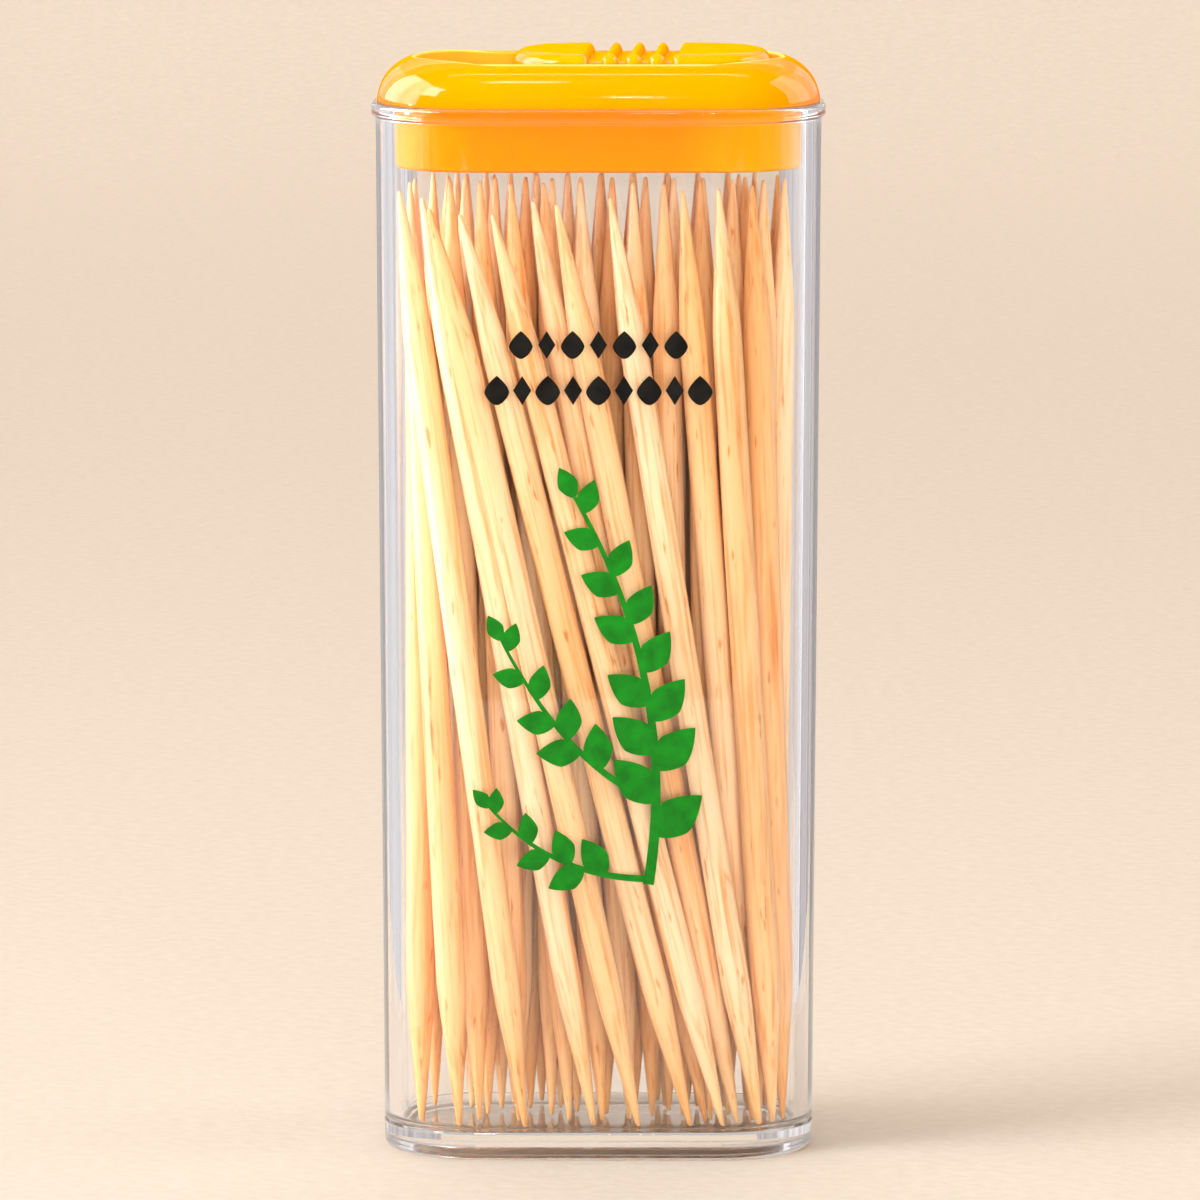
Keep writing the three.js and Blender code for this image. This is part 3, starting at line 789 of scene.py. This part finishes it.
PRINT_OUT = 0.012  # how far the ink stands out from the wall
INK_LAYER = 0.0005  # how far each shape lies from the one before, so that no two faces coincide
INK_THICKNESS = 0.01
PATH_STEPS = 24
STEM_TAPER = 0.35  # a stem's width at its tip, as a share of its foot's
LEAF_SIDES = 48
LEAF_SPREAD = 0.8  # angle between a leaf and its stem
LEAF_WIDTH, BORDER_LEAF_WIDTH, DIAMOND_WIDTH = 0.42, 0.56, 0.62  # shares of the length
TIP_LEAF_LENGTH, TIP_LEAF_WIDTH = 0.5, 0.2  # shares of the longest leaf
LAST_LEAF = 0.96  # where along a stem its last pair of leaves sits


def on_front_wall(bm):
    """Brings a flat drawing in X and Y up on to the sloping front wall."""
    lift = Matrix(((1, 0, 0, 0), (0, DRAFT / -RIM_Z, 1, DRAFT - WALL_RADIUS - CORNER_Y - PRINT_OUT),
                   (0, 1, 0, 0), (0, 0, 0, 1)))
    bmesh.ops.transform(bm, matrix=lift, verts=bm.verts)
    return bm


def leaf(middle, angle, length, width):
    """A flat leaf drawn from its stalk, round at the foot and pointed at the tip."""
    bm = bmesh.new()
    bmesh.ops.create_circle(bm, segments=LEAF_SIDES, radius=0.5, cap_ends=True)
    for vert in bm.verts:
        along = vert.co.x + 0.5
        vert.co.y *= width / length * 2 * (1 - along) ** 0.45 * min(1.0, 0.55 + along)
    bmesh.ops.scale(bm, verts=bm.verts, vec=(length, length, 1))
    bmesh.ops.translate(bm, verts=bm.verts, vec=(length / 2, 0, 0))
    bmesh.ops.rotate(bm, verts=bm.verts, matrix=Matrix.Rotation(angle, 3, "Z"))
    bmesh.ops.translate(bm, verts=bm.verts, vec=(*middle, 0))
    return bm


def stem(path, start_width, end_width):
    """A flat stem along a path of points in X and Y."""
    bm = bmesh.new()
    count = len(path) - 1
    bmesh.ops.create_grid(bm, x_segments=count, y_segments=1, size=0.5)
    for vert in bm.verts:
        share = vert.co.x + 0.5
        k = min(round(share * count), count)
        before, after = path[max(k - 1, 0)], path[min(k + 1, count)]
        way = (Vector(after) - Vector(before)).normalized()
        width = start_width + (end_width - start_width) * share
        side = vert.co.y * width
        vert.co = (path[k][0] - way.y * side, path[k][1] + way.x * side, 0)
    return bm


def curve_points(start, bend, end):
    """Points on a bent line from start to end."""
    a, b, c = Vector(start), Vector(bend), Vector(end)
    shares = [k / PATH_STEPS for k in range(PATH_STEPS + 1)]
    return [tuple(a * (1 - s) ** 2 + b * 2 * s * (1 - s) + c * s * s) for s in shares]


def inked(name, parts, ink):
    """Makes one printed piece of flat shapes, each in a layer of its own."""
    for k, part in enumerate(parts):
        bmesh.ops.translate(part, verts=part.verts, vec=(0, 0, -INK_LAYER * k))
    bm = joined(parts)
    bmesh.ops.recalc_face_normals(bm, faces=bm.faces)
    bmesh.ops.solidify(bm, geom=bm.faces[:], thickness=INK_THICKNESS)
    bmesh.ops.recalc_face_normals(bm, faces=bm.faces)
    piece = finished(name, on_front_wall(bm), ink)
    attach(piece, "container")
    return piece


def sprig(start, bend, end, width, leaves, longest, bare):
    """A bent stem, bare at its foot, with leaves to both sides that get smaller to its tip."""
    path = curve_points(start, bend, end)
    parts = [stem(path, width, width * STEM_TAPER)]
    for k in range(leaves):
        share = bare + (LAST_LEAF - bare) * k / (leaves - 1)
        at = int(share * PATH_STEPS)
        way = Vector(path[min(at + 1, PATH_STEPS)]) - Vector(path[at - 1])
        base = math.atan2(way.y, way.x)
        length = longest * (1 - 0.5 * share)
        side = 1 if k % 2 else -1
        parts.append(leaf(path[at], base + side * LEAF_SPREAD, length, length * LEAF_WIDTH))
    parts.append(leaf(path[-1], base, longest * TIP_LEAF_LENGTH, longest * TIP_LEAF_WIDTH))
    return parts


green_parts = []
for start, bend, end, width, leaves, longest, bare in (
    ((3.4, 19.2), (5.6, 33.0), (-1.6, 45.8), 0.75, 13, 4.6, 0.16),
    ((3.9, 25.0), (-2.0, 27.0), (-6.6, 36.0), 0.55, 7, 3.9, 0.36),
    ((3.7, 19.6), (-3.0, 19.5), (-7.4, 24.5), 0.5, 7, 3.4, 0.26),
):
    green_parts += sprig(start, bend, end, width, leaves, longest, bare)
inked("green_sprig", green_parts, GREEN_INK)


def diamond(x, z, size):
    """A flat diamond that stands on its point."""
    bm = bmesh.new()
    bmesh.ops.create_circle(bm, segments=4, radius=0.5, cap_ends=True)
    bmesh.ops.scale(bm, verts=bm.verts, vec=(size * DIAMOND_WIDTH, size, 1))
    bmesh.ops.translate(bm, verts=bm.verts, vec=(x, z, 0))
    return bm


black_parts = []
for row_z, count, pitch, size in ((56.2, 7, 1.75, 1.9), (53.1, 9, 1.72, 2.0)):
    for k in range(count):
        x = (k - (count - 1) / 2) * pitch
        if (k + count) % 2:
            black_parts.append(leaf((x, row_z - size / 2), math.pi / 2, size, size * BORDER_LEAF_WIDTH))
        else:
            black_parts.append(diamond(x, row_z, size))
inked("black_border", black_parts, BLACK_INK)


# Studio

SHEET_HALF, SHEET_TOP, SHEET_BACK, SHEET_BEND = 2500, 2200, 1100, 400


def studio():
    """A pale sheet that runs from the table up into the backdrop."""
    material, tree, shader = material_tree("studio_sheet")
    grain = cloudy(tree, object_place(tree), Scale=900.0, Detail=6.0).outputs["Fac"]
    tone = ramp(tree, grain, [(0.3, (0.602, 0.528, 0.464)), (0.7, (0.642, 0.568, 0.504))])
    tree.links.new(tone, shader.inputs["Base Color"])
    tree.links.new(relief(tree, grain, 0.3, 0.0004), shader.inputs["Normal"])
    fill(shader, Roughness=0.85, Specular_IOR_Level=0.0)
    bm = bmesh.new()
    side = [(-SHEET_HALF, 0), (SHEET_BACK, 0), (SHEET_BACK, SHEET_TOP)]
    verts = [bm.verts.new((-SHEET_HALF, y, z)) for y, z in side]
    for pair in zip(verts, verts[1:]):
        bm.edges.new(pair)
    bmesh.ops.bevel(bm, geom=[verts[1]], offset=SHEET_BEND, segments=24, profile=0.5,
                    affect="VERTICES", material=-1)
    strip = bmesh.ops.extrude_edge_only(bm, edges=bm.edges[:])
    bmesh.ops.translate(bm, verts=[g for g in strip["geom"] if isinstance(g, bmesh.types.BMVert)],
                        vec=(2 * SHEET_HALF, 0, 0))
    sheet = finished("studio_sheet", bm, material)


def hung(name, lamp, place, target, energy, colour):
    """Hangs a lamp at a place, turned to a target. The camera doesn't see it."""
    lamp.energy, lamp.color = energy, colour
    holder = bpy.data.objects.new(name, lamp)
    holder.location = place
    holder.rotation_euler = (Vector(target) - Vector(place)).to_track_quat("-Z", "Y").to_euler()
    holder.visible_camera = False
    bpy.context.scene.collection.objects.link(holder)
    return holder


def softbox(name, place, target, size, energy, colour, mirrored=True, lighting=True):
    """A square-edged lamp, which may be left out of reflections or light reflections only."""
    lamp = bpy.data.lights.new(name, "AREA")
    lamp.shape, lamp.size, lamp.size_y = "RECTANGLE", *size
    holder = hung(name, lamp, place, target, energy, colour)
    holder.visible_glossy = holder.visible_transmission = mirrored
    holder.visible_diffuse = lighting


def spotlight(name, place, target, angle, energy, colour):
    """A narrow lamp with a soft edge, left out of reflections."""
    lamp = bpy.data.lights.new(name, "SPOT")
    lamp.spot_size, lamp.spot_blend, lamp.shadow_soft_size = math.radians(angle), 1.0, 0.03
    holder = hung(name, lamp, place, target, energy, colour)
    holder.visible_glossy = holder.visible_transmission = False


def staged_card(name, size, middle, material):
    """A card that shows in the clear wall and the gloss only."""
    card = finished(name, block(size, middle, 0.5), material)
    card.visible_camera = card.visible_shadow = card.visible_diffuse = False


def light_card(name, x, near, far, fade, height, tone, glow, foot=0):
    """An upright card beside the box, just outside the picture. Its near end fades in."""
    material, tree, shader = material_tree(name)
    place = object_place(tree)
    stretch = fill(node(tree, "ShaderNodeMapping"), Scale=(0.0, 1.0, 0.04))
    tree.links.new(place, stretch.inputs["Vector"])
    mottle = cloudy(tree, stretch.outputs["Vector"], Scale=70.0)
    dim = tuple(0.55 * t for t in tone)
    colour = ramp(tree, mottle.outputs["Fac"], [(0.35, dim), (0.65, tone)])
    tree.links.new(colour, shader.inputs["Base Color"])
    tree.links.new(colour, shader.inputs["Emission Color"])
    depth = node(tree, "ShaderNodeSeparateXYZ")
    tree.links.new(place, depth.inputs["Vector"])
    edge = fill(node(tree, "ShaderNodeMapRange", interpolation_type="SMOOTHSTEP"),
                From_Min=near * MM, From_Max=(near + fade) * MM, To_Max=glow)
    tree.links.new(depth.outputs["Y"], edge.inputs["Value"])
    tree.links.new(edge.outputs["Result"], shader.inputs["Emission Strength"])
    fill(shader, Roughness=0.9)
    staged_card(name, (2, far - near, height), (x, (near + far) / 2, foot + height / 2), material)


def dark_card():
    """A dark card on the table before the picture, which keeps the clear wall free of glare."""
    material, tree, shader = material_tree("dark_card")
    mottle = cloudy(tree, object_place(tree), Scale=6.0).outputs["Fac"]
    tree.links.new(ramp(tree, mottle, [(0.35, (0.05, 0.045, 0.04)), (0.65, (0.08, 0.07, 0.065))]),
                   shader.inputs["Base Color"])
    fill(shader, Roughness=1.0)
    staged_card("dark_card", (1600, 1900, 2), (0, -1150, 2), material)


WINDOW_WHITE = (0.98, 0.99, 1.0)
HIGH_WHITE = (0.93, 0.95, 1.0)
WARM_FILL = (1.0, 0.95, 0.88)
ABOVE_PICTURE = 74  # the height at which the upper cards start

studio()
# Cards, in millimetres: place, near and far end, fade, height, colour, glow and foot
light_card("left_card", -60, -30, 150, 20, 70, (0.72, 0.77, 0.86), 0.42)
light_card("left_window", -60, -20, 38, 0.5, 60, WINDOW_WHITE, 9.0, ABOVE_PICTURE)
light_card("left_high_card", -60, 40, 190, 4, 50, HIGH_WHITE, 1.3, ABOVE_PICTURE)
light_card("left_grey_card", -62, 152, 260, 1, 150, (0.5, 0.5, 0.55), 0.4)
light_card("right_card", 60, -10, 36, 20, 70, (0.76, 0.79, 0.86), 0.65)
light_card("right_window", 60, -8, 34, 0.5, 60, WINDOW_WHITE, 2.8, ABOVE_PICTURE)
light_card("right_high_card", 60, 36, 190, 4, 50, HIGH_WHITE, 1.2, ABOVE_PICTURE)
light_card("right_grey_card", 60, 38, 260, 1, 150, (0.45, 0.45, 0.5), 0.35)
dark_card()
# Lamps, in metres: place, target, size or angle, energy and colour
softbox("key", (-0.42, -0.19, 0.42), (0, 0, 0.04), (0.22, 0.22), 2.15, (0.96, 0.985, 1.0))
softbox("left_strip", (-0.27, -0.04, 0.1), (0, 0, 0.04), (0.025, 0.26), 0.9, WHITE, lighting=False)
softbox("front_fill", (0.15, -0.8, 0.2), (0, 0, 0.05), (0.5, 0.3), 1.85, WARM_FILL, mirrored=False)
softbox("low_fill", (0.05, -0.6, 0.03), (0, 0, 0.07), (0.5, 0.05), 1.8, (1.0, 0.94, 0.86), mirrored=False)
softbox("right_fill", (0.4, -0.28, 0.14), (0, 0, 0.05), (0.1, 0.2), 0.25, WARM_FILL, mirrored=False)
softbox("overhead", (0.0, -0.02, 0.62), (0, 0, 0.05), (0.5, 0.08), 1.5, WARM_FILL, mirrored=False)
softbox("low_spark", (0.017, -0.6, 0.43), (0.006, 0, 0.073), (0.026, 0.016), 0.075, WHITE)
softbox("middle_spark", (-0.022, -0.153, 0.57), (-0.006, 0, 0.073), (0.02, 0.06), 0.035, WHITE)
softbox("high_strip", (0.0, 0.05, 0.6), (0, 0, 0.073), (0.4, 0.012), 0.15, WHITE)
spotlight("tip_light", (0.03, -0.6, 0.11), (0.0, 0, 0.06), 5.0, 9.0, (1.0, 0.99, 0.97))
softbox("backdrop_wash", (0.0, 1.0, 0.95), (0, 1.1, 0), (1.4, 0.5), 12.0, (1.0, 0.97, 0.93), mirrored=False)

world = bpy.data.worlds.new("studio_air")
world.use_nodes = True
fill(world.node_tree.nodes["Background"], Color=(1.0, 0.87, 0.72, 1), Strength=0.52)
bpy.context.scene.world = world
world.cycles_visibility.glossy = False
bpy.context.scene.view_settings.view_transform = "Standard"

CAMERA_PITCH = 7.8  # degrees that the camera looks down

view = bpy.data.cameras.new("view")
view.lens, view.sensor_width = 298.1, 36.0
view.clip_start, view.clip_end = 0.05, 10.0
camera = bpy.data.objects.new("view", view)
camera.location = (0.0001, -0.676, 0.1303)
camera.rotation_euler = (math.radians(90 - CAMERA_PITCH), 0, 0)
bpy.context.scene.collection.objects.link(camera)
bpy.context.scene.camera = camera
